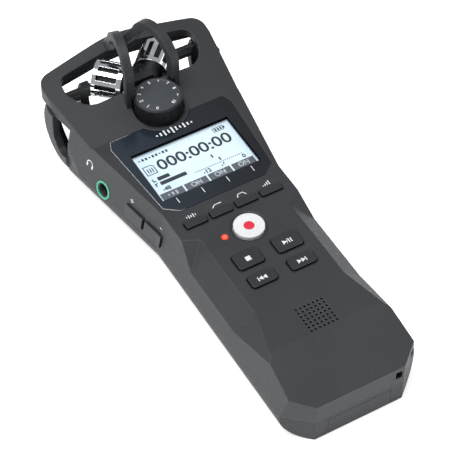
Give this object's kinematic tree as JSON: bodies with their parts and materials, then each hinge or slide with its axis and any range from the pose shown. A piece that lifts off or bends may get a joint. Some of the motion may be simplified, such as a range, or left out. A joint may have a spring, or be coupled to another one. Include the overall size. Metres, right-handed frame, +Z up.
{
  "type": "portable field recorder",
  "caption": "Handheld sound recorder with a crossed pair of microphones in an open roll cage, a gain dial, a lit display and transport keys.",
  "frame": {"origin": "middle of the footprint, on the flat back", "axes": "+X across the case to its right, +Y along the case towards the microphones, +Z up out of the front face"},
  "size_m": [0.0536, 0.1319, 0.0385],
  "materials": {
    "front_shell": "fine matte texture",
    "rear_shell": "fine matte texture",
    "lens": "clear, printed dark border",
    "lcd": "lit liquid crystal panel, emissive",
    "light_panel": "white",
    "circuit_board": "green solder mask",
    "snap_domes": "bright",
    "dark_keys": "satin",
    "record_cap": "white",
    "record_dot": "red",
    "record_light": "red, lit",
    "dial": "grey top, black knurled side",
    "plated_steel": "bright plating",
    "black_parts": "black",
    "foam": "closed-cell foam",
    "phones_ring": "green",
    "line_ring": "blue",
    "insert_brass": "turned",
    "mic_chrome": "polished",
    "capsule_black": "black",
    "mic_mesh_steel": "dark woven mesh",
    "cell_jacket": "printed jacket",
    "screw_steel": "zinc"
  },
  "bodies": {
    "case": {"front_case": "front_shell", "rear_case": "rear_shell", "display_lens": "lens", "lcd_panel": "lcd", "lcd_backlight": "light_panel", "main_board": "circuit_board", "key_domes": "snap_domes", "rec_light": "record_light", "gain_pot_body": "black_parts", "speaker": "black_parts", "speaker_gasket": "foam", "phones_jack": "black_parts", "phones_jack_ring": "phones_ring", "line_in_jack": "black_parts", "line_in_jack_ring": "line_ring", "volume_switches": "black_parts", "power_switch": "plated_steel", "delete_switch": "plated_steel", "usb_socket": "plated_steel", "card_socket": "plated_steel", "tripod_insert": "insert_brass", "mic_bracket": "black_parts", "mic_board": "circuit_board", "mic_housing_left": "mic_chrome", "mic_housing_right": "mic_chrome", "mic_capsule_left": "capsule_black", "mic_capsule_right": "capsule_black", "mic_mesh_left": "mic_mesh_steel", "mic_mesh_right": "mic_mesh_steel", "battery_left": "cell_jacket", "battery_right": "cell_jacket", "battery_springs": "plated_steel", "battery_contacts": "plated_steel", "case_screws": "screw_steel", "board_screws": "screw_steel"},
    "gain_dial": {"gain_dial": "dial", "gain_pot_shaft": "plated_steel"},
    "record_key": {"record_key": "record_cap", "record_key_dot": "record_dot"},
    "function_key_1": {"function_key_1": "dark_keys"},
    "function_key_2": {"function_key_2": "dark_keys"},
    "function_key_3": {"function_key_3": "dark_keys"},
    "function_key_4": {"function_key_4": "dark_keys"},
    "stop_key": {"stop_key": "dark_keys"},
    "play_key": {"play_key": "dark_keys"},
    "rewind_key": {"rewind_key": "dark_keys"},
    "forward_key": {"forward_key": "dark_keys"},
    "volume_rocker": {"volume_rocker": "dark_keys"},
    "power_slider": {"power_slider": "dark_keys"},
    "delete_key": {"delete_key": "dark_keys"},
    "battery_cover": {"battery_cover": "rear_shell"},
    "card_door": {"card_door": "rear_shell"}
  },
  "joints": [
    {"name": "gain_dial_turn", "type": "hinge", "parent": "case", "child": "gain_dial", "pos_m": [0, 0.0393, 0.02], "axis": [0, 0, 1], "range_deg": [-150, 150]},
    {"name": "record_key_press", "type": "slide", "parent": "case", "child": "record_key", "axis": [0, 0, -1], "range_m": [0, 0.0005], "stiffness_N_per_m": 1200, "springref_m": -0.0006},
    {"name": "function_key_1_press", "type": "slide", "parent": "case", "child": "function_key_1", "axis": [0, 0, -1], "range_m": [0, 0.0005], "stiffness_N_per_m": 1200, "springref_m": -0.0006},
    {"name": "function_key_2_press", "type": "slide", "parent": "case", "child": "function_key_2", "axis": [0, 0, -1], "range_m": [0, 0.0005], "stiffness_N_per_m": 1200, "springref_m": -0.0006},
    {"name": "function_key_3_press", "type": "slide", "parent": "case", "child": "function_key_3", "axis": [0, 0, -1], "range_m": [0, 0.0005], "stiffness_N_per_m": 1200, "springref_m": -0.0006},
    {"name": "function_key_4_press", "type": "slide", "parent": "case", "child": "function_key_4", "axis": [0, 0, -1], "range_m": [0, 0.0005], "stiffness_N_per_m": 1200, "springref_m": -0.0006},
    {"name": "stop_key_press", "type": "slide", "parent": "case", "child": "stop_key", "axis": [0, 0, -1], "range_m": [0, 0.0005], "stiffness_N_per_m": 1200, "springref_m": -0.0006},
    {"name": "play_key_press", "type": "slide", "parent": "case", "child": "play_key", "axis": [0, 0, -1], "range_m": [0, 0.0005], "stiffness_N_per_m": 1200, "springref_m": -0.0006},
    {"name": "rewind_key_press", "type": "slide", "parent": "case", "child": "rewind_key", "axis": [0, 0, -1], "range_m": [0, 0.0005], "stiffness_N_per_m": 1200, "springref_m": -0.0006},
    {"name": "forward_key_press", "type": "slide", "parent": "case", "child": "forward_key", "axis": [0, 0, -1], "range_m": [0, 0.0005], "stiffness_N_per_m": 1200, "springref_m": -0.0006},
    {"name": "volume_rocker_tilt", "type": "hinge", "parent": "case", "child": "volume_rocker", "pos_m": [-0.0169, 0.01, 0.0108], "axis": [0, 0, 1], "range_deg": [-2.5, 2.5], "stiffness_Nm_per_rad": 0.2},
    {"name": "power_slider_slide", "type": "slide", "parent": "case", "child": "power_slider", "axis": [0, 1, 0], "range_m": [-0.0015, 0.0015]},
    {"name": "delete_key_press", "type": "slide", "parent": "case", "child": "delete_key", "axis": [-1, 0, 0], "range_m": [0, 0.0004], "stiffness_N_per_m": 1200, "springref_m": -0.0006},
    {"name": "battery_cover_slide", "type": "slide", "parent": "case", "child": "battery_cover", "axis": [0, -1, 0], "range_m": [0, 0.005]},
    {"name": "card_door_swing", "type": "hinge", "parent": "case", "child": "card_door", "pos_m": [0.01916, -0.003, 0.00945], "axis": [0, 1, 0], "range_deg": [0, 85]}
  ]
}
